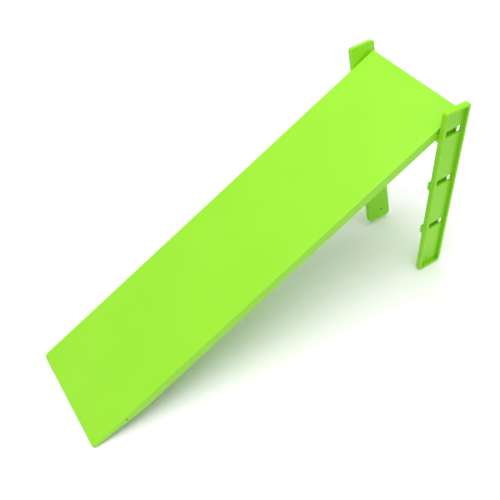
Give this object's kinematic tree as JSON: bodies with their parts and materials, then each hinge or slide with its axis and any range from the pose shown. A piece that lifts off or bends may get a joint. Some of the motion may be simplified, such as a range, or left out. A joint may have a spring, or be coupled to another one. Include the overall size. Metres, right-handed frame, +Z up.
{
  "type": "straight slide",
  "caption": "Table-top straight slide of moulded plastic: a flat ribbed deck that hangs on lugs between slotted side legs and rests on its toe.",
  "frame": {"origin": "middle of the bottom of the box around the whole slide; the bottom is the floor that the toe and the upright leg stand on", "axes": "+X runs up the slide from the toe, +Y to the left of someone who looks up the slide, +Z up"},
  "size_m": [0.3644, 0.1248, 0.1835],
  "materials": {
    "deck_plastic": "semi-gloss lime green moulded plastic",
    "leg_plastic": "semi-gloss lime green moulded plastic, a shade deeper than the deck"
  },
  "bodies": {
    "slide_deck": {"slide_deck": "deck_plastic"},
    "left_leg": {"left_leg": "leg_plastic"},
    "right_leg": {"right_leg": "leg_plastic"}
  },
  "joints": [
    {"name": "left_leg_lean", "type": "hinge", "parent": "slide_deck", "child": "left_leg", "pos_m": [0.16943, 0.04974, 0.16875], "axis": [1, 0, 0], "range_deg": [0, 14.1]},
    {"name": "right_leg_lean", "type": "hinge", "parent": "slide_deck", "child": "right_leg", "pos_m": [0.16943, -0.05306, 0.16875], "axis": [1, 0, 0], "range_deg": [0, 14.1]}
  ]
}
